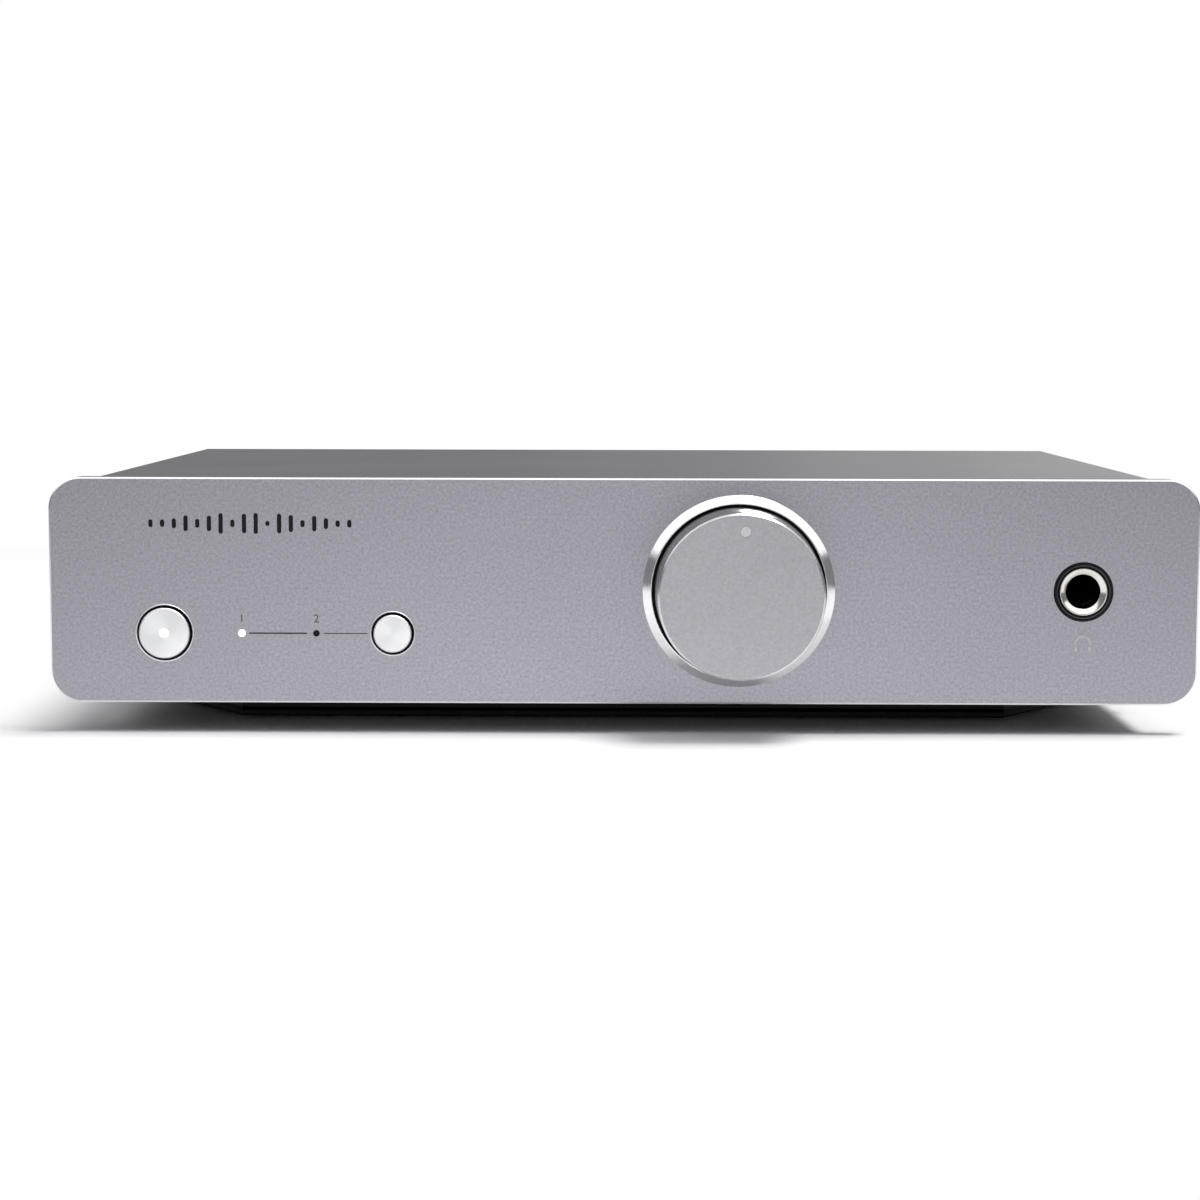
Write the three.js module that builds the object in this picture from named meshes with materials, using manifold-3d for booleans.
// A half-width hi-fi headphone amplifier with a two-way phono input, in millimetres.
// +X is to the right seen from the front, +Y runs from the front panel to the rear, and +Z is up.
// The origin is the middle of the footprint, on the surface that the feet stand on.
// Inside the cabinet group, Y is measured from the front panel's face.

import * as THREE from "three";
import { mergeVertices } from "three/addons/utils/BufferGeometryUtils.js";
import Module from "manifold-3d";

const wasm = await Module();
wasm.setup();

// ---------------------------------------------------------------- driving dimensions

const WIDTH = 215;
const HEIGHT = 48;
const DEPTH = 157.5; // from the knob's face to the ends of the phono sockets

const PANEL = { height: 42.3, thickness: 4, corner: 6, chamfer: 0.4 };
const BASE_Z = HEIGHT - PANEL.height;
const AXIS_Z = 27; // of the volume knob and of the headphone socket

const KNOB = { x: 21.6, radius: 15.8, front: 15.4, proud: 13.2, rear: 2.2, wall: 1.5, chamfer: 0.3 };
const FRONT_Y = -DEPTH / 2 + KNOB.proud;

const COVER = { halfWidth: 99.4, top: HEIGHT, bottom: 6.6, front: 4.2, back: 137, sheet: 1, bend: 1.2 };
const TRAY = { halfWidth: 98.2, bottom: 6.5, sheet: 1, front: 4.2, rearFace: 135.5 };
const TRAY_TOP = { front: 45, rear: 46.8 };
const TRAY_FLANGE = { front: 20, back: 125, top: 16 };
const FLOOR_TOP = TRAY.bottom + TRAY.sheet;

const PLINTH = { halfWidth: 94, front: 18, back: 129, bottom: 0.8, top: 6.3, wall: 2.4, floor: 2 };
const PLINTH_CUT = { x: 20, y: 28 }; // how much each corner loses
const BOSS = { radius: 4, xs: [-56, 56], ys: [58, 96] }; // the plinth meets the tray on these
const FOOT = { radius: 7, height: 1.75, recess: 1, clearance: 0.1, x: 76, ys: [42, 110] };

const BOARD = { thickness: 1.6, bottom: 11 };
const BOARD_TOP = BOARD.bottom + BOARD.thickness;
const BOARD_SEAT = BOARD_TOP + 0.2; // where parts on the main board begin
const MAIN_BOARD = { halfWidth: 93, front: 14.5, back: 131 };
const FRONT_BOARD = { x: [-95.5, -36], front: 12, z: [13, 42] };
const CONNECTOR = { x: [-78, -52], back: 17.6, top: 16.4 };
const TRANSFORMER = { x: -70, y: 74 };
const GAP = 0.2; // between bodies that would touch

const BUTTON_Z = 18.8;
const POWER = { x: -86, radius: 4.75, lightRadius: 0.8 };
const SELECT = { x: -43.2, radius: 3.55 };
const BUTTON = { proud: 0.8, capRear: 3.4, capWall: 0.65, gap: 0.15, sleeve: 0.3 };
const PANEL_GAP = 0.05; // between a sleeve and its hole in the panel
const INDICATOR = { xs: [-71.5, -57.5], radius: 0.75, collar: 1.4, collarWidth: 1.1, rear: 10.6 };
const JACK = { x: 86, bore: 3.2, ferrule: 4.4, bezel: 5.35 };

const SOCKET = { barrel: 4.15, wall: 0.7, length: 8.8, pin: 1.65, recess: 1.2 };
const SOCKET_FLANGE = { radius: 5.4, width: 0.8 };
const SOCKET_ZS = { left: 33.5, right: 19.5 };
const SOCKET_XS = { input_a: 62, input_b: 40, output: -12 };
const GROUND = { x: 84, z: 26, radius: 4.6, bore: 2.1 };
const BALANCE = { x: 14, z: 26, radius: 4, shaft: 2 };
const MAINS = { x: -72, z: 24, pinSpacing: 8.6, pinRadius: 1.2 };
const MAINS_BODY = { halfWidth: 10, halfHeight: 6.5, rear: -17, cavity: 13 };

const COVER_SCREW = { radius: 1.4, length: 4.5, hole: 1.6, z: 11.5, ys: [32, 112] };
const SCREW_HEAD = { radius: 2.7, rim: 0.9, crown: 2.1, height: 1.6, key: 1.15, keyFloor: 0.6 };
const VENT = { count: 7, pitch: 10, width: 3, length: 26, rows: [58, 96] };

// ---------------------------------------------------------------- finishes

function finish(color, roughness, metalness) {
  return new THREE.MeshStandardMaterial({ color, roughness, metalness });
}

const FINISH = {
  satinAluminium: finish(0xa7a5ae, 0.42, 0.9),
  polishedAluminium: finish(0xe4e6ea, 0.14, 1),
  spunAluminium: finish(0xdcdee1, 0.28, 1),
  paintedSilver: finish(0x8f8f93, 0.5, 0.6),
  paintedBlack: finish(0x1d1d20, 0.6, 0.3),
  blackPlastic: finish(0x161618, 0.55, 0),
  rubber: finish(0x111112, 0.85, 0),
  nickel: finish(0xc8c6c0, 0.2, 1),
  brass: finish(0xb59a5a, 0.35, 1),
  steel: finish(0x9a9a9c, 0.35, 1),
  boardGreen: finish(0x1f4a33, 0.5, 0),
  lampWhite: finish(0xf6f8fa, 0.3, 0),
  lampDark: finish(0x17171a, 0.3, 0),
  pointerWhite: finish(0xd4d3d8, 0.5, 0),
  insertWhite: finish(0xe8e8e4, 0.4, 0),
  insertRed: finish(0xa81f22, 0.4, 0),
  ferrite: finish(0x3a3a3e, 0.7, 0),
};

// ---------------------------------------------------------------- solids

const WELD = 1e-4;

function solidOf(geometry) {
  const bare = geometry.index ? geometry.toNonIndexed() : geometry.clone();
  bare.deleteAttribute("normal");
  bare.deleteAttribute("uv");
  const merged = mergeVertices(bare, WELD);
  return new wasm.Manifold(
    new wasm.Mesh({
      numProp: 3,
      vertProperties: merged.attributes.position.array,
      triVerts: new Uint32Array(merged.index.array),
    }),
  );
}

function geometryOf(solid) {
  const { vertProperties, triVerts } = solid.getMesh();
  const geometry = new THREE.BufferGeometry();
  geometry.setAttribute("position", new THREE.BufferAttribute(vertProperties, 3));
  geometry.setIndex(new THREE.BufferAttribute(triVerts, 1));
  geometry.computeVertexNormals();
  return geometry;
}

const joined = (solids) => solids.reduce((all, next) => all.add(next));
const cutBy = (solid, tools) => tools.reduce((left, tool) => left.subtract(tool), solid);
const middle = ([low, high]) => (low + high) / 2;
const length = ([low, high]) => high - low;
const around = (centre, half) => [centre - half, centre + half];

// A block between the low and high of each axis.
function block(x, y, z) {
  const geometry = new THREE.BoxGeometry(length(x), length(y), length(z));
  geometry.translate(middle(x), middle(y), middle(z));
  return solidOf(geometry);
}

// A round rod along Y, with its axis at [x, z].
function rodY(radius, y, [x, z] = [0, 0], sides = 24) {
  const geometry = new THREE.CylinderGeometry(radius, radius, length(y), sides);
  geometry.translate(x, middle(y), z);
  return solidOf(geometry);
}

// A round rod along Z, with its axis at [x, y].
function rodZ(radius, z, [x, y], sides = 24) {
  const geometry = new THREE.CylinderGeometry(radius, radius, length(z), sides);
  geometry.rotateX(Math.PI / 2);
  geometry.translate(x, y, middle(z));
  return solidOf(geometry);
}

// A round rod along X, with its axis at [y, z].
function rodX(radius, x, [y, z], sides = 12) {
  const geometry = new THREE.CylinderGeometry(radius, radius, length(x), sides);
  geometry.rotateZ(Math.PI / 2);
  geometry.translate(middle(x), y, z);
  return solidOf(geometry);
}

// A profile of [radius, y] points turned about the Y axis.
function turned(profile, sides = 24) {
  const points = profile.map(([radius, y]) => new THREE.Vector2(radius, y));
  if (THREE.ShapeUtils.isClockWise(points)) points.reverse();
  const onAxis = points.filter((point) => point.x === 0).length;
  if (onAxis === 0) points.push(points[0].clone());
  else while (points[0].x !== 0 || points.at(-1).x !== 0) points.push(points.shift());
  return solidOf(new THREE.LatheGeometry(points, sides));
}

// An outline in X and Z, extruded from y[0] to y[1], with an optional chamfer round both faces.
function slabY(shape, y, chamfer = 0) {
  const geometry = new THREE.ExtrudeGeometry(shape, {
    depth: length(y) - 2 * chamfer,
    bevelEnabled: chamfer > 0,
    bevelSize: chamfer,
    bevelThickness: chamfer,
    bevelSegments: 1,
    curveSegments: 6,
  });
  geometry.rotateX(Math.PI / 2);
  geometry.translate(0, y[1] - chamfer, 0);
  return solidOf(geometry);
}

// An outline in X and Y, extruded from z[0] to z[1].
function slabZ(shape, z) {
  const geometry = new THREE.ExtrudeGeometry(shape, {
    depth: length(z),
    bevelEnabled: false,
  });
  geometry.translate(0, 0, z[0]);
  return solidOf(geometry);
}

function polygon(points) {
  return new THREE.Shape(points.map(([u, v]) => new THREE.Vector2(u, v)));
}

function roundedRectangle(u, v, radius) {
  const shape = new THREE.Shape();
  const quarter = Math.PI / 2;
  shape.absarc(u[1] - radius, v[0] + radius, radius, -quarter, 0);
  shape.absarc(u[1] - radius, v[1] - radius, radius, 0, quarter);
  shape.absarc(u[0] + radius, v[1] - radius, radius, quarter, 2 * quarter);
  shape.absarc(u[0] + radius, v[0] + radius, radius, 2 * quarter, 3 * quarter);
  return shape;
}

// ---------------------------------------------------------------- scene graph

function group(parent, x, y, z) {
  const made = new THREE.Group();
  made.position.set(x, y, z);
  parent.add(made);
  return made;
}

function part(parent, name, solid, material, place = [0, 0, 0]) {
  const mesh = new THREE.Mesh(geometryOf(solid), material.clone());
  mesh.name = name;
  mesh.position.set(...place);
  parent.add(mesh);
  return mesh;
}

const amplifier = new THREE.Group();
const cabinet = group(amplifier, 0, FRONT_Y, 0);

// ---------------------------------------------------------------- front panel

const RING = { inner: 16.3, land: 0.2, outer: 18, spigot: 17, proud: 1.7, edge: 0.46, rear: 3.5, gap: 0.1 };
const SEAT_GAP = 0.05; // under a part that sits on a face

function frontPanel() {
  const inset = PANEL.chamfer;
  const outline = roundedRectangle(
    [-WIDTH / 2 + inset, WIDTH / 2 - inset],
    [BASE_Z + inset, HEIGHT - inset],
    PANEL.corner - inset,
  );
  const plate = slabY(outline, [0, PANEL.thickness], PANEL.chamfer);
  const through = [-1, PANEL.thickness + 1];
  const holes = [
    rodY(RING.spigot + RING.gap, through, [KNOB.x, AXIS_Z], 48),
    rodY(sleeveRadius(POWER) + PANEL_GAP, through, [POWER.x, BUTTON_Z]),
    rodY(sleeveRadius(SELECT) + PANEL_GAP, through, [SELECT.x, BUTTON_Z]),
    rodY(JACK.bezel + PANEL_GAP, through, [JACK.x, AXIS_Z]),
    ...INDICATOR.xs.map((x) => rodY(INDICATOR.radius + PANEL_GAP, through, [x, BUTTON_Z], 12)),
  ];
  return cutBy(plate, holes);
}

function sleeveRadius(button) {
  return button.radius + BUTTON.gap + BUTTON.sleeve;
}

part(cabinet, "front_panel", frontPanel(), FINISH.satinAluminium);

// ---------------------------------------------------------------- volume control

const volume = group(cabinet, KNOB.x, 0, AXIS_Z);
const KNOB_FACE_BACK = -KNOB.proud + 2.5;
const HUB = { radius: 7, front: KNOB_FACE_BACK + 0.1, rear: -1.3 };
const SHAFT = { radius: 3, flat: 1.5, front: HUB.front + 0.9, rear: 15.5 };
const HUB_SLEEVE = 1.5; // aluminium round the hub
const POINTER = { radius: 1, orbit: 12, degrees: 3, depth: 0.6, sunk: 0.05, gap: 0.04 };
const POINTER_Y = [-KNOB.proud + POINTER.sunk, -KNOB.proud + POINTER.sunk + POINTER.depth];
const POT = { half: 8.5, top: 9, back: 17.2, pinHalf: 7, pinFront: 14.8, pinTop: -8 };
const BUSH = { radius: 4.5, front: 1.2 };
const NUT = { radius: 6.9, bore: 4.6, y: [1.9, 4.1] };

function knobRing() {
  return turned(
    [
      [RING.inner, RING.rear],
      [RING.inner, -RING.proud],
      [RING.inner + RING.land, -RING.proud],
      [RING.outer, -RING.edge],
      [RING.outer, -SEAT_GAP],
      [RING.spigot, -SEAT_GAP],
      [RING.spigot, RING.rear],
    ],
    48,
  );
}

function pointerPlace() {
  const angle = THREE.MathUtils.degToRad(POINTER.degrees);
  return [POINTER.orbit * Math.sin(angle), POINTER.orbit * Math.cos(angle)];
}

function knobCap() {
  const inside = KNOB.radius - KNOB.wall;
  const cup = turned(
    [
      [0, -KNOB.proud],
      [KNOB.front - KNOB.chamfer, -KNOB.proud],
      [KNOB.front, -KNOB.proud + KNOB.chamfer],
      [KNOB.radius, KNOB.rear],
      [inside, KNOB.rear],
      [inside, KNOB_FACE_BACK],
      [HUB.radius + HUB_SLEEVE, KNOB_FACE_BACK],
      [HUB.radius + HUB_SLEEVE, HUB.rear],
      [HUB.radius + SEAT_GAP, HUB.rear],
      [HUB.radius + SEAT_GAP, KNOB_FACE_BACK],
      [0, KNOB_FACE_BACK],
    ],
    48,
  );
  const pocket = [-KNOB.proud - 1, POINTER_Y[1] + POINTER.gap];
  return cup.subtract(rodY(POINTER.radius + POINTER.gap, pocket, pointerPlace(), 16));
}

// A round shaft with one flat, which a hub with the same flat can't turn on.
function flattedRod(radius, y, flat, flatY) {
  return rodY(radius, y).subtract(block([-radius - 1, radius + 1], flatY, [flat, radius + 1]));
}

function knobHub() {
  const clearance = 0.06;
  const deep = [SHAFT.front - 0.3, 0];
  const bore = flattedRod(SHAFT.radius + clearance, deep, SHAFT.flat + clearance, [-20, 1]);
  return rodY(HUB.radius, [HUB.front, HUB.rear]).subtract(bore);
}

function volumePotBody() {
  const can = block(around(0, POT.half), [TRAY.front + TRAY.sheet + GAP, POT.back], around(0, POT.top));
  const bush = rodY(BUSH.radius, [BUSH.front, TRAY.front + TRAY.sheet + 1]);
  const pins = block(around(0, POT.pinHalf), [POT.pinFront, POT.back], [BOARD_SEAT - AXIS_Z, POT.pinTop]);
  return joined([can, bush, pins]).subtract(rodY(SHAFT.radius + 0.1, [0, SHAFT.rear + 0.1]));
}

part(volume, "knob_ring", knobRing(), FINISH.polishedAluminium);
part(volume, "knob_cap", knobCap(), FINISH.satinAluminium);
part(volume, "knob_hub", knobHub(), FINISH.blackPlastic);
part(volume, "knob_pointer", rodY(POINTER.radius, POINTER_Y, pointerPlace(), 16), FINISH.pointerWhite);
part(
  volume,
  "volume_pot_shaft",
  flattedRod(SHAFT.radius, [SHAFT.front, SHAFT.rear], SHAFT.flat, [-20, 0]),
  FINISH.steel,
);
part(volume, "volume_pot_body", volumePotBody(), FINISH.steel);
const nut = rodY(NUT.radius, NUT.y, [0, 0], 6).subtract(rodY(NUT.bore, [NUT.y[0] - 1, NUT.y[1] + 1]));
part(volume, "volume_pot_nut", nut, FINISH.nickel);

// ---------------------------------------------------------------- push buttons

const STEM = { front: 0.3, flangeFront: 5, flangeRear: 6, flange: 1.15, clearance: 0.1 };
const TIP = { radius: 1.2, end: 8.6 };
const GUIDE = { front: 0.15, flangeFront: 4.1, flangeRear: 4.8, flange: 1.4 };
const SWITCH = { half: 3, front: 9.3, back: 11.9 };
const LIGHT = { rear: 8.4, capGap: 0.05, stemGap: 0.15 };
const POWER_TIP_Z = -3.4; // the power switch sits below the axis, clear of the lamp

function buttonCap({ radius }, hole) {
  const edge = 0.25;
  const inside = radius - BUTTON.capWall;
  const faceBack = 0.2;
  return turned(
    [
      [hole, -BUTTON.proud],
      [radius - edge, -BUTTON.proud],
      [radius, -BUTTON.proud + edge],
      [radius, BUTTON.capRear],
      [inside, BUTTON.capRear],
      [inside, faceBack],
      [hole, faceBack],
    ],
    24,
  );
}

function buttonStem({ radius }, hole, tipZ) {
  const body = radius - BUTTON.capWall - STEM.clearance;
  const plunger = turned(
    [
      [hole, STEM.front],
      [body, STEM.front],
      [body, STEM.flangeFront],
      [radius + STEM.flange, STEM.flangeFront],
      [radius + STEM.flange, STEM.flangeRear],
      [hole, STEM.flangeRear],
    ],
    24,
  );
  return plunger.add(rodY(TIP.radius, [STEM.flangeRear - 0.5, TIP.end], [0, tipZ], 16));
}

function buttonGuide(button) {
  const inside = button.radius + BUTTON.gap;
  return turned(
    [
      [inside, GUIDE.front],
      [sleeveRadius(button), GUIDE.front],
      [sleeveRadius(button), GUIDE.flangeFront],
      [sleeveRadius(button) + GUIDE.flange, GUIDE.flangeFront],
      [sleeveRadius(button) + GUIDE.flange, GUIDE.flangeRear],
      [inside, GUIDE.flangeRear],
    ],
    24,
  );
}

function tactSwitch(z) {
  return block([-SWITCH.half, SWITCH.half], [SWITCH.front, SWITCH.back], around(z, SWITCH.half));
}

const power = group(cabinet, POWER.x, 0, BUTTON_Z);
const powerStem = buttonStem(POWER, POWER.lightRadius + LIGHT.stemGap, POWER_TIP_Z);
part(power, "power_button_cap", buttonCap(POWER, POWER.lightRadius + LIGHT.capGap), FINISH.spunAluminium);
part(power, "power_button_stem", powerStem, FINISH.blackPlastic);
const powerLight = rodY(POWER.lightRadius, [-BUTTON.proud, LIGHT.rear], [0, 0], 12);
part(power, "power_light", powerLight, FINISH.lampWhite);
part(power, "power_button_guide", buttonGuide(POWER), FINISH.blackPlastic);
part(power, "power_switch", tactSwitch(POWER_TIP_Z), FINISH.blackPlastic);

const select = group(cabinet, SELECT.x, 0, BUTTON_Z);
part(select, "select_button_cap", buttonCap(SELECT, 0), FINISH.spunAluminium);
part(select, "select_button_stem", buttonStem(SELECT, 0, 0), FINISH.blackPlastic);
part(select, "select_button_guide", buttonGuide(SELECT), FINISH.blackPlastic);
part(select, "select_switch", tactSwitch(0), FINISH.blackPlastic);

// ---------------------------------------------------------------- indicator lights

function indicatorLight() {
  const { radius, collar, collarWidth, rear: end } = INDICATOR;
  return turned(
    [
      [0, 0],
      [radius, 0],
      [radius, GUIDE.flangeFront],
      [collar, GUIDE.flangeFront],
      [collar, GUIDE.flangeFront + collarWidth],
      [radius, GUIDE.flangeFront + collarWidth],
      [radius, end],
      [0, end],
    ],
    12,
  );
}

INDICATOR.xs.forEach((x, i) => {
  const material = i === 0 ? FINISH.lampWhite : FINISH.lampDark;
  part(cabinet, `indicator_light_${i + 1}`, indicatorLight(), material, [x, 0, BUTTON_Z]);
});

// ---------------------------------------------------------------- headphone socket

const jack = group(cabinet, JACK.x, 0, AXIS_Z);
const JACK_BODY = { front: 8.3, back: 33, half: 8, top: 9, boreGap: 0.05 };
const BEZEL = { front: -0.25, ledge: 0.15, step: 4.9, rear: 3.95 };
const FERRULE = { front: -0.15, lip: 0.1, throat: 1.2, rear: 8.1 };
const CONTACT = { half: 1.5, window: { x: 1.5, front: 21, half: 1.8 } };

function jackBezel() {
  const inside = JACK.ferrule + 2 * SEAT_GAP;
  return turned(
    [
      [inside, BEZEL.ledge],
      [BEZEL.step, BEZEL.ledge],
      [BEZEL.step, BEZEL.front],
      [JACK.bezel, BEZEL.front],
      [JACK.bezel, BEZEL.rear],
      [inside, BEZEL.rear],
    ],
    24,
  );
}

function jackFerrule() {
  return turned(
    [
      [JACK.bore, FERRULE.throat],
      [JACK.ferrule - FERRULE.lip, FERRULE.front],
      [JACK.ferrule, FERRULE.front],
      [JACK.ferrule, FERRULE.rear],
      [JACK.bore, FERRULE.rear],
    ],
    24,
  );
}

function jackBody() {
  const { front, back, half, top, boreGap } = JACK_BODY;
  const { window } = CONTACT;
  const bore = rodY(JACK.bore + boreGap, [front - 1, back + 1]);
  const slot = block([window.x, half + 1], [window.front, back + 1], around(0, window.half));
  return cutBy(block([-half, half], [front, back], [BOARD_SEAT - AXIS_Z, top]), [bore, slot]);
}

// The tip contact: a leaf spring whose crest reaches just into the bore.
function jackContact() {
  const leaf = polygon([
    [7, 32.6],
    [6.6, 32.6],
    [6.6, 29],
    [3, 26.2],
    [3, 25.6],
    [5.6, 22],
    [5.9, 22.2],
    [3.4, 25.8],
    [3.4, 26],
    [7, 28.8],
  ]);
  return slabZ(leaf, around(0, CONTACT.half));
}

part(jack, "headphone_jack_bezel", jackBezel(), FINISH.blackPlastic);
part(jack, "headphone_jack_ferrule", jackFerrule(), FINISH.nickel);
part(jack, "headphone_jack_body", jackBody(), FINISH.blackPlastic);
part(jack, "headphone_jack_contact", jackContact(), FINISH.brass);

// ---------------------------------------------------------------- case

const TRAY_HOLE = { power: 7, select: 5.8, lamp: 2.2, volume: 4.7, jack: 4.6, ground: 3.5, balance: 3 };
const STANDOFF = { radius: 2.5, xs: [-88, 0, 88], ys: [24, 120] };
const PAST = 3; // how far a cutting rod goes past a thin sheet
const coverScrewPlaces = [-1, 1].flatMap((side) => COVER_SCREW.ys.map((y) => ({ side, y })));

// A sheet bent down at both sides, with rounded bends.
function coverOutline() {
  const { halfWidth, top, bottom, sheet, bend } = COVER;
  const inside = halfWidth - sheet;
  const quarter = Math.PI / 2;
  const shape = new THREE.Shape();
  shape.moveTo(halfWidth, bottom);
  shape.absarc(halfWidth - bend, top - bend, bend, 0, quarter);
  shape.absarc(-halfWidth + bend, top - bend, bend, quarter, 2 * quarter);
  shape.lineTo(-halfWidth, bottom);
  shape.lineTo(-inside, bottom);
  shape.absarc(-halfWidth + bend, top - bend, bend - sheet, 2 * quarter, quarter, true);
  shape.absarc(halfWidth - bend, top - bend, bend - sheet, quarter, 0, true);
  shape.lineTo(inside, bottom);
  return shape;
}

function topCover() {
  const holes = coverScrewPlaces.map(({ side, y }) => {
    return rodX(COVER_SCREW.hole, around(side * COVER.halfWidth, PAST), [y, COVER_SCREW.z]);
  });
  return cutBy(slabY(coverOutline(), [COVER.front, COVER.back]), holes);
}

// The slots that let air in from below, through any floor between z[0] and z[1].
function ventSlots(z) {
  return VENT.rows.flatMap((y) =>
    Array.from({ length: VENT.count }, (_, i) => {
      const x = (i - (VENT.count - 1) / 2) * VENT.pitch;
      return block(around(x, VENT.width / 2), around(y, VENT.length / 2), z);
    }),
  );
}

function trayFrontHoles() {
  const through = [TRAY.front - 1, TRAY.front + TRAY.sheet + 1];
  return [
    rodY(TRAY_HOLE.power, through, [POWER.x, BUTTON_Z]),
    rodY(TRAY_HOLE.select, through, [SELECT.x, BUTTON_Z]),
    ...INDICATOR.xs.map((x) => rodY(TRAY_HOLE.lamp, through, [x, BUTTON_Z], 12)),
    rodY(TRAY_HOLE.volume, through, [KNOB.x, AXIS_Z]),
    rodY(TRAY_HOLE.jack, through, [JACK.x, AXIS_Z]),
  ];
}

function trayRearHoles() {
  const through = [TRAY.rearFace - TRAY.sheet - 1, TRAY.rearFace + 1];
  const sockets = Object.values(SOCKET_XS).flatMap((x) =>
    Object.values(SOCKET_ZS).map((z) => rodY(SOCKET.barrel + GAP, through, [x, z], 20)),
  );
  const mainsWidth = around(MAINS.x, MAINS_BODY.halfWidth + GAP);
  return [
    ...sockets,
    rodY(TRAY_HOLE.ground, through, [GROUND.x, GROUND.z], 20),
    rodY(TRAY_HOLE.balance, through, [BALANCE.x, BALANCE.z], 20),
    block(mainsWidth, through, around(MAINS.z, MAINS_BODY.halfHeight + GAP)),
  ];
}

function baseTray() {
  const { halfWidth, bottom, sheet, front, rearFace } = TRAY;
  const across = [-halfWidth, halfWidth];
  const floor = block(across, [front, rearFace], [bottom, FLOOR_TOP]);
  const narrower = around(0, halfWidth - 2 * sheet);
  const frontWall = block(narrower, [front, front + sheet], [bottom, TRAY_TOP.front]);
  const rearWall = block(across, [rearFace - sheet, rearFace], [bottom, TRAY_TOP.rear]);
  const flanges = [-1, 1].map((side) => {
    const x = side > 0 ? [halfWidth - sheet, halfWidth] : [-halfWidth, -halfWidth + sheet];
    return block(x, [TRAY_FLANGE.front, TRAY_FLANGE.back], [bottom, TRAY_FLANGE.top]);
  });
  const standoffs = STANDOFF.xs.flatMap((x) =>
    STANDOFF.ys.map((y) => rodZ(STANDOFF.radius, [bottom, BOARD.bottom - 2 * SEAT_GAP], [x, y], 8)),
  );
  const flangeHoles = coverScrewPlaces.map(({ side, y }) => {
    return rodX(COVER_SCREW.hole, around(side * halfWidth, PAST), [y, COVER_SCREW.z]);
  });
  return cutBy(joined([floor, frontWall, rearWall, ...flanges, ...standoffs]), [
    ...trayFrontHoles(),
    ...trayRearHoles(),
    ...flangeHoles,
    ...ventSlots([bottom - 1, FLOOR_TOP + 1]),
  ]);
}

function coverScrew() {
  const head = turned(
    [
      [0, -COVER_SCREW.length],
      [COVER_SCREW.radius, -COVER_SCREW.length],
      [COVER_SCREW.radius, SEAT_GAP],
      [SCREW_HEAD.radius, SEAT_GAP],
      [SCREW_HEAD.radius, SCREW_HEAD.rim],
      [SCREW_HEAD.crown, SCREW_HEAD.height],
      [0, SCREW_HEAD.height],
    ],
    16,
  );
  return head.subtract(rodY(SCREW_HEAD.key, [SCREW_HEAD.keyFloor, SCREW_HEAD.height + 1], [0, 0], 6));
}

// ---------------------------------------------------------------- plinth and feet

// A rectangle with its four corners cut off, drawn inset from the plinth's edge.
function plinthOutline(inset) {
  const x = PLINTH.halfWidth - inset;
  const [front, back] = [PLINTH.front + inset, PLINTH.back - inset];
  const trim = inset * (PLINTH_CUT.x + PLINTH_CUT.y - Math.hypot(PLINTH_CUT.x, PLINTH_CUT.y));
  const cutX = PLINTH_CUT.x - trim / PLINTH_CUT.y;
  const cutY = PLINTH_CUT.y - trim / PLINTH_CUT.x;
  return polygon([
    [x, front + cutY],
    [x, back - cutY],
    [x - cutX, back],
    [cutX - x, back],
    [-x, back - cutY],
    [-x, front + cutY],
    [cutX - x, front],
    [x - cutX, front],
  ]);
}

const footPlaces = [-1, 1].flatMap((side) => FOOT.ys.map((y) => [side * FOOT.x, y]));

function plinth() {
  const { bottom, top, wall, floor } = PLINTH;
  const pocket = slabZ(plinthOutline(wall), [bottom + floor, top + 1]);
  const bosses = BOSS.xs.flatMap((x) =>
    BOSS.ys.map((y) => rodZ(BOSS.radius, [bottom + 1, top], [x, y], 12)),
  );
  const seats = footPlaces.map((place) =>
    rodZ(FOOT.radius + FOOT.clearance, [bottom - 1, bottom + FOOT.recess], place),
  );
  const shell = slabZ(plinthOutline(0), [bottom, top]).subtract(pocket);
  return cutBy(joined([shell, ...bosses]), [...seats, ...ventSlots([bottom - 1, bottom + floor + 1])]);
}

// ---------------------------------------------------------------- boards

function mainBoard() {
  const { halfWidth, front, back } = MAIN_BOARD;
  return block(around(0, halfWidth), [front, back], [BOARD.bottom, BOARD_TOP]);
}

function frontBoard() {
  const { x, front, z } = FRONT_BOARD;
  return block(x, [front, front + BOARD.thickness], z);
}

function boardConnector() {
  const front = FRONT_BOARD.front + BOARD.thickness + GAP;
  return block(CONNECTOR.x, [front, CONNECTOR.back], [BOARD_SEAT, CONNECTOR.top]);
}

// A ferrite core round a wound bobbin.
function transformer() {
  const bobbin = block([-10, 10], [-11, 11], [0, 20]);
  const core = block([-14, 14], [-6, 6], [1.5, 22]);
  return bobbin.add(core);
}

// ---------------------------------------------------------------- rear sockets

const rear = group(cabinet, 0, TRAY.rearFace, 0);
const SHELL_REAR = -4.5;
const SOCKET_BLOCK = { side: 6.5, rear: -16.5, top: 41.5 };

function socketBlock(xs) {
  const { side, rear: back, top } = SOCKET_BLOCK;
  const wide = [Math.min(...xs) - side, Math.max(...xs) + side];
  const seats = xs.flatMap((x) =>
    Object.values(SOCKET_ZS).map((z) => rodY(SOCKET.barrel + GAP, [SHELL_REAR - GAP, 0], [x, z], 20)),
  );
  return cutBy(block(wide, [back, -TRAY.sheet - GAP], [BOARD_SEAT, top]), seats);
}

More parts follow.
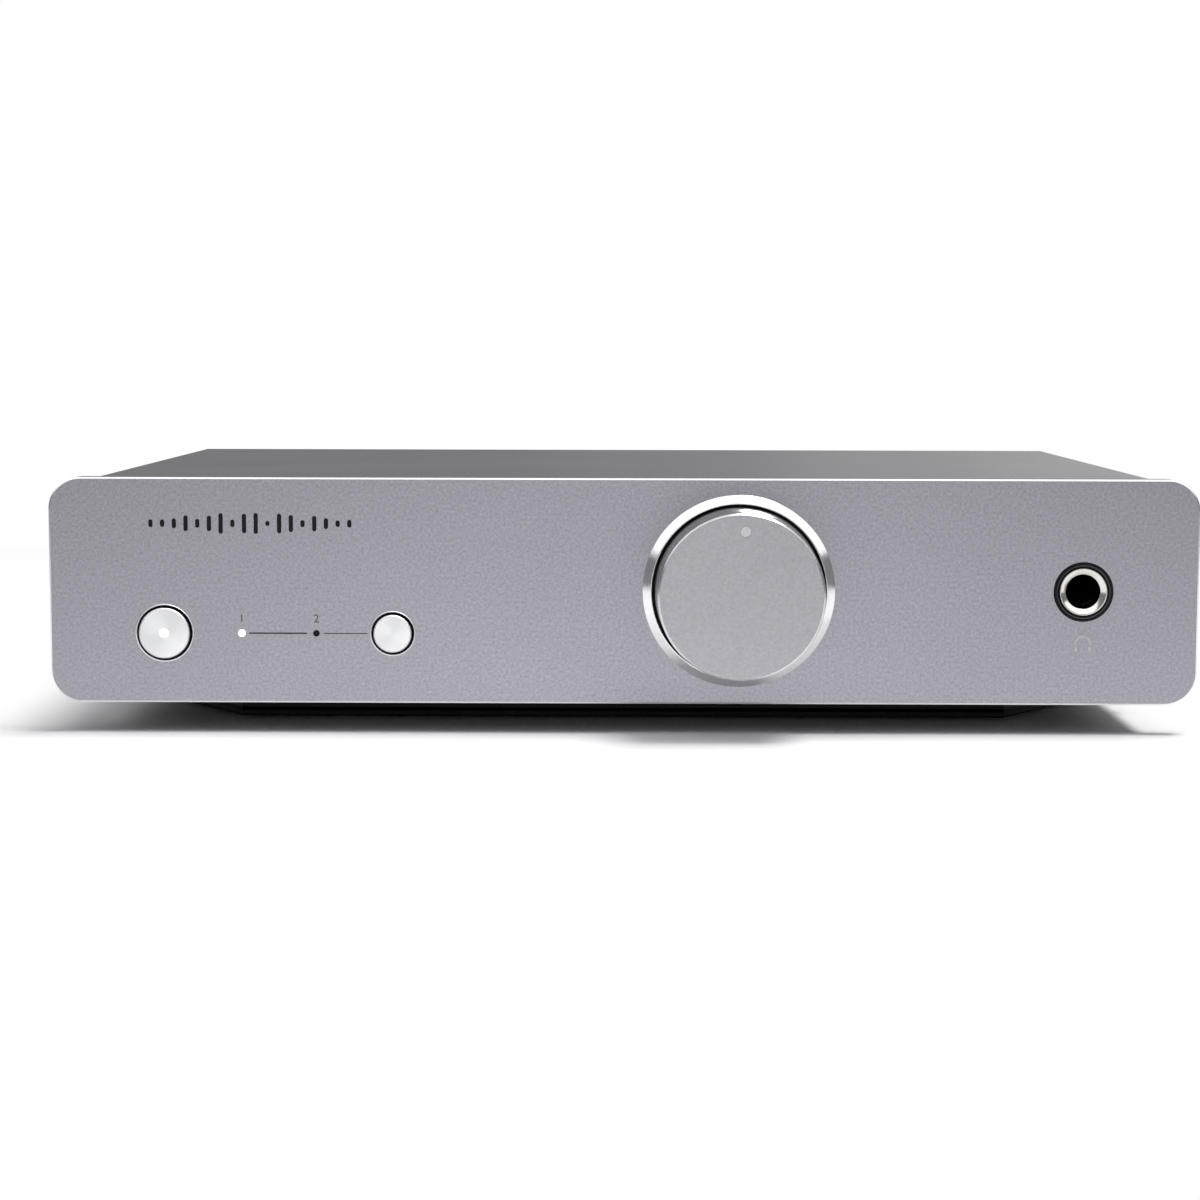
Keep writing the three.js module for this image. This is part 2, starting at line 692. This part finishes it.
function socketShell() {
  const inside = SOCKET.barrel - SOCKET.wall;
  return turned(
    [
      [inside, SHELL_REAR],
      [SOCKET.barrel, SHELL_REAR],
      [SOCKET.barrel, SEAT_GAP],
      [SOCKET_FLANGE.radius, SEAT_GAP],
      [SOCKET_FLANGE.radius, SEAT_GAP + SOCKET_FLANGE.width],
      [SOCKET.barrel, SEAT_GAP + SOCKET_FLANGE.width],
      [SOCKET.barrel, SOCKET.length],
      [inside, SOCKET.length],
    ],
    20,
  );
}

function socketInsulator() {
  const outside = SOCKET.barrel - SOCKET.wall - 2 * SEAT_GAP;
  const front = SOCKET.length - SOCKET.recess;
  return turned(
    [
      [SOCKET.pin, SHELL_REAR],
      [outside, SHELL_REAR],
      [outside, front],
      [SOCKET.pin, front],
    ],
    24,
  );
}

part(rear, "input_socket_block", socketBlock([SOCKET_XS.input_a, SOCKET_XS.input_b]), FINISH.blackPlastic);
part(rear, "output_socket_block", socketBlock([SOCKET_XS.output]), FINISH.blackPlastic);
for (const [line, x] of Object.entries(SOCKET_XS)) {
  for (const [channel, z] of Object.entries(SOCKET_ZS)) {
    const insert = channel === "left" ? FINISH.insertWhite : FINISH.insertRed;
    part(rear, `${line}_${channel}_shell`, socketShell(), FINISH.nickel, [x, 0, z]);
    part(rear, `${line}_${channel}_insulator`, socketInsulator(), insert, [x, 0, z]);
  }
}

// ---------------------------------------------------------------- ground terminal

const POST = { stem: 3.3, radius: 4.5, rear: -5, front: 3.4 };
const WASHER = { y: [3.45, 4.2], gap: 0.1 };
const THUMB_SCREW = { thread: 1.9, tip: -1.5, seat: 4.25, rim: 7.8, edge: 0.4 };

function groundPost() {
  return turned(
    [
      [GROUND.bore, POST.rear],
      [POST.stem, POST.rear],
      [POST.stem, SEAT_GAP],
      [POST.radius, SEAT_GAP],
      [POST.radius, POST.front],
      [GROUND.bore, POST.front],
    ],
    20,
  );
}

function groundWasher() {
  return turned(
    [
      [GROUND.bore + WASHER.gap, WASHER.y[0]],
      [GROUND.radius, WASHER.y[0]],
      [GROUND.radius, WASHER.y[1]],
      [GROUND.bore + WASHER.gap, WASHER.y[1]],
    ],
    20,
  );
}

function groundScrew() {
  const { thread, tip, seat, rim, edge } = THUMB_SCREW;
  return turned(
    [
      [0, tip],
      [thread, tip],
      [thread, seat],
      [GROUND.radius, seat],
      [GROUND.radius, rim],
      [GROUND.radius - edge, rim + edge],
      [0, rim + edge],
    ],
    20,
  );
}

const ground = group(rear, GROUND.x, 0, GROUND.z);
part(ground, "ground_post", groundPost(), FINISH.nickel);
part(ground, "ground_washer", groundWasher(), FINISH.nickel);
part(ground, "ground_thumb_screw", groundScrew(), FINISH.nickel);

// ---------------------------------------------------------------- balance control

const DIAL = { rear: -7, seat: 0.6, rim: 5.6, edge: 0.4 };
const DIAL_MARK = { half: 0.35, from: 0.5, floor: 5.5 };
const BALANCE_POT = { half: 5, rear: -11.5, top: 5.5 };

function balanceKnob() {
  const { rear: back, seat, rim, edge } = DIAL;
  const dial = turned(
    [
      [0, back],
      [BALANCE.shaft, back],
      [BALANCE.shaft, seat],
      [BALANCE.radius, seat],
      [BALANCE.radius, rim],
      [BALANCE.radius - edge, rim + edge],
      [0, rim + edge],
    ],
    20,
  );
  const deep = [DIAL_MARK.floor, rim + 1];
  return dial.subtract(block(around(0, DIAL_MARK.half), deep, [DIAL_MARK.from, BALANCE.radius + 1]));
}

function balancePot() {
  const { half, rear: back, top } = BALANCE_POT;
  const can = block(around(0, half), [back, -TRAY.sheet - GAP], [BOARD_SEAT - BALANCE.z, top]);
  return can.subtract(rodY(BALANCE.shaft + 2 * SEAT_GAP, [DIAL.rear - GAP, 0], [0, 0], 20));
}

const balance = group(rear, BALANCE.x, 0, BALANCE.z);
part(balance, "balance_pot", balancePot(), FINISH.steel);
part(balance, "balance_knob", balanceKnob(), FINISH.blackPlastic);

// ---------------------------------------------------------------- mains inlet

const MAINS_FLANGE = { halfWidth: 13, halfHeight: 8.5, corner: 2, front: 1.6 };
const MOUTH = { halfWidth: 8.1, halfHeight: 4.3, corner: 4.29 };
const PIN = { rear: -21, front: -2.5, tailHalf: 0.6, tailFront: -19.6 };

function mainsInlet() {
  const { halfWidth, halfHeight, rear: back, cavity } = MAINS_BODY;
  const plate = roundedRectangle(
    around(0, MAINS_FLANGE.halfWidth),
    around(0, MAINS_FLANGE.halfHeight),
    MAINS_FLANGE.corner,
  );
  const mouth = roundedRectangle(around(0, MOUTH.halfWidth), around(0, MOUTH.halfHeight), MOUTH.corner);
  const flange = slabY(plate, [SEAT_GAP, MAINS_FLANGE.front]);
  const body = block([-halfWidth, halfWidth], [back, 0.5], [-halfHeight, halfHeight]);
  const pinHoles = [-1, 1].map((side) =>
    rodY(MAINS.pinRadius + 0.1, [back - 1, -cavity + 1], [(side * MAINS.pinSpacing) / 2, 0], 12),
  );
  return cutBy(flange.add(body), [slabY(mouth, [-cavity, MAINS_FLANGE.front + 1]), ...pinHoles]);
}

function mainsPin() {
  const tail = block(around(0, PIN.tailHalf), [PIN.rear, PIN.tailFront], [BOARD_SEAT - MAINS.z, 0]);
  return rodY(MAINS.pinRadius, [PIN.rear, PIN.front], [0, 0], 12).add(tail);
}

const mains = group(rear, MAINS.x, 0, MAINS.z);
part(mains, "mains_inlet", mainsInlet(), FINISH.blackPlastic);
part(mains, "mains_pin_live", mainsPin(), FINISH.nickel, [-MAINS.pinSpacing / 2, 0, 0]);
part(mains, "mains_pin_neutral", mainsPin(), FINISH.nickel, [MAINS.pinSpacing / 2, 0, 0]);

// ---------------------------------------------------------------- case, feet and boards in place

part(cabinet, "top_cover", topCover(), FINISH.paintedSilver);
part(cabinet, "base_tray", baseTray(), FINISH.paintedBlack);
part(cabinet, "plinth", plinth(), FINISH.blackPlastic);
footPlaces.forEach(([x, y], i) => {
  const pad = rodZ(FOOT.radius, [0, FOOT.height], [0, 0]);
  part(cabinet, `foot_pad_${i + 1}`, pad, FINISH.rubber, [x, y, 0]);
});
coverScrewPlaces.forEach(({ side, y }, i) => {
  const screw = part(cabinet, `cover_screw_${i + 1}`, coverScrew(), FINISH.steel);
  screw.position.set(side * COVER.halfWidth, y, COVER_SCREW.z);
  screw.rotation.z = (-side * Math.PI) / 2;
});
part(cabinet, "main_board", mainBoard(), FINISH.boardGreen);
part(cabinet, "front_board", frontBoard(), FINISH.boardGreen);
part(cabinet, "board_connector", boardConnector(), FINISH.blackPlastic);
const transformerPlace = [TRANSFORMER.x, TRANSFORMER.y, BOARD_SEAT];
part(cabinet, "power_transformer", transformer(), FINISH.ferrite, transformerPlace);

export default amplifier;
